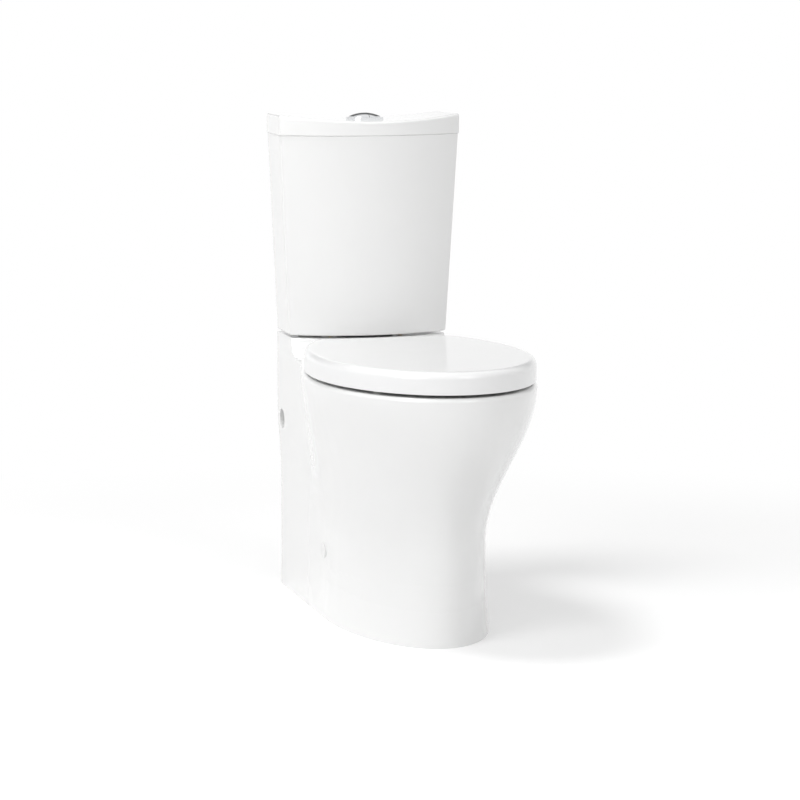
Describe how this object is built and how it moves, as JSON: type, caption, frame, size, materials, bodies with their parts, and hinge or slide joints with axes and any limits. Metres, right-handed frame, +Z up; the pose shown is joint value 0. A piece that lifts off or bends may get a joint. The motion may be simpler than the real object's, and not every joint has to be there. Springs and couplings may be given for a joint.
{
  "type": "close coupled toilet",
  "caption": "Close coupled toilet with a skirted bowl, a tapered tank bolted on behind, a domed split flush button in the tank lid, and a hinged seat and lid.",
  "frame": {"origin": "on the floor, midway in the width and in the depth of the whole toilet", "axes": "+Z up, -Y towards the user, +X to the right of someone who faces the toilet"},
  "size_m": [0.36, 0.7049, 0.8275],
  "materials": {
    "ceramic": "glossy glaze",
    "seat_plastic": "glossy",
    "bumper_rubber": "soft matt",
    "hinge_metal": "polished",
    "bolt_steel": "bright",
    "bolt_brass": "bright",
    "nut_plastic": "satin",
    "seal_rubber": "matt",
    "valve_plastic": "satin",
    "lever_plastic": "satin",
    "float_plastic": "satin",
    "tube_plastic": "smooth",
    "chrome": "polished",
    "cap_plastic": "glossy",
    "bracket_plastic": "rough"
  },
  "bodies": {
    "toilet": {"bowl": "ceramic", "rim_channel": "ceramic", "basin": "ceramic", "trapway": "ceramic", "tank": "ceramic", "hinge_posts": "hinge_metal", "hinge_pins": "hinge_metal", "seat_bolts": "bolt_steel", "seat_washers": "seal_rubber", "seat_nuts": "nut_plastic", "flush_valve_body": "valve_plastic", "flush_valve_washer": "seal_rubber", "flush_valve_nut": "nut_plastic", "tank_gasket": "seal_rubber", "overflow_tube": "valve_plastic", "lever_pins": "bolt_steel", "fill_valve_body": "valve_plastic", "fill_valve_cap": "lever_plastic", "fill_lever_pin": "bolt_steel", "fill_valve_washer": "seal_rubber", "fill_valve_nut": "nut_plastic", "refill_tube": "tube_plastic", "tank_bolts": "bolt_brass", "tank_bolt_washers": "seal_rubber", "tank_bolt_nuts": "bolt_brass", "bolt_caps": "cap_plastic", "side_screws": "bolt_steel", "floor_bracket": "bracket_plastic", "outlet_seal": "seal_rubber"},
    "seat": {"seat_ring": "seat_plastic", "seat_bumpers": "bumper_rubber"},
    "seat_cover": {"seat_lid": "seat_plastic", "lid_bumpers": "bumper_rubber"},
    "tank_cover": {"tank_lid": "ceramic", "button_bezel": "chrome", "button_nut": "nut_plastic", "full_button_spring": "bolt_steel", "half_button_spring": "bolt_steel"},
    "full_button": {"full_flush_button": "chrome", "full_push_rod": "chrome"},
    "half_button": {"half_flush_button": "chrome", "half_push_rod": "chrome"},
    "full_lever": {"full_flush_lever": "lever_plastic"},
    "half_lever": {"half_flush_lever": "lever_plastic"},
    "canister": {"flush_canister": "float_plastic", "canister_seal": "seal_rubber"},
    "half_float": {"half_flush_float": "float_plastic"},
    "valve_float": {"fill_float": "float_plastic"},
    "valve_lever": {"fill_lever": "lever_plastic"}
  },
  "joints": [
    {"name": "seat_hinge", "type": "hinge", "parent": "toilet", "child": "seat", "pos_m": [0, 0.1305, 0.436], "axis": [-1, 0, 0], "range_deg": [0, 94]},
    {"name": "seat_cover_hinge", "type": "hinge", "parent": "seat", "child": "seat_cover", "pos_m": [0, 0.1305, 0.436], "axis": [1, 0, 0], "range_deg": [-94, 0]},
    {"name": "tank_cover_lift", "type": "slide", "parent": "toilet", "child": "tank_cover", "axis": [0, 0, 1], "range_m": [0, 0.15]},
    {"name": "full_button_press", "type": "slide", "parent": "tank_cover", "child": "full_button", "axis": [0, 0, -1], "range_m": [0, 0.005], "stiffness_N_per_m": 400, "springref_m": -0.006, "deforming": ["full_button_spring"]},
    {"name": "half_button_press", "type": "slide", "parent": "tank_cover", "child": "half_button", "axis": [0, 0, -1], "range_m": [0, 0.005], "stiffness_N_per_m": 400, "springref_m": -0.006, "deforming": ["half_button_spring"]},
    {"name": "full_lever_turn", "type": "hinge", "parent": "toilet", "child": "full_lever", "pos_m": [-0.024, 0.2705, 0.72], "axis": [0, 1, 0], "range_deg": [0, 24.1]},
    {"name": "half_lever_turn", "type": "hinge", "parent": "toilet", "child": "half_lever", "pos_m": [0.024, 0.2705, 0.72], "axis": [0, -1, 0], "range_deg": [0, 24.1]},
    {"name": "canister_lift", "type": "slide", "parent": "toilet", "child": "canister", "axis": [0, 0, 1], "range_m": [0, 0.0091]},
    {"name": "half_float_lift", "type": "slide", "parent": "toilet", "child": "half_float", "axis": [0, 0, 1], "range_m": [0, 0.0091]},
    {"name": "valve_float_rise", "type": "slide", "parent": "toilet", "child": "valve_float", "axis": [0, 0, 1], "range_m": [0, 0.015]},
    {"name": "valve_lever_turn", "type": "hinge", "parent": "toilet", "child": "valve_lever", "pos_m": [-0.096, 0.2845, 0.69], "axis": [-1, 0, 0], "range_deg": [0, 27.1]}
  ],
  "couplings": [
    {"joint": "full_lever_turn", "follows": "full_button_press", "rad_per_m": 83.7},
    {"joint": "canister_lift", "follows": "full_button_press", "ratio": 1.8},
    {"joint": "half_lever_turn", "follows": "half_button_press", "rad_per_m": 83.7},
    {"joint": "half_float_lift", "follows": "half_button_press", "ratio": 1.8},
    {"joint": "valve_lever_turn", "follows": "valve_float_rise", "rad_per_m": 31.4}
  ]
}
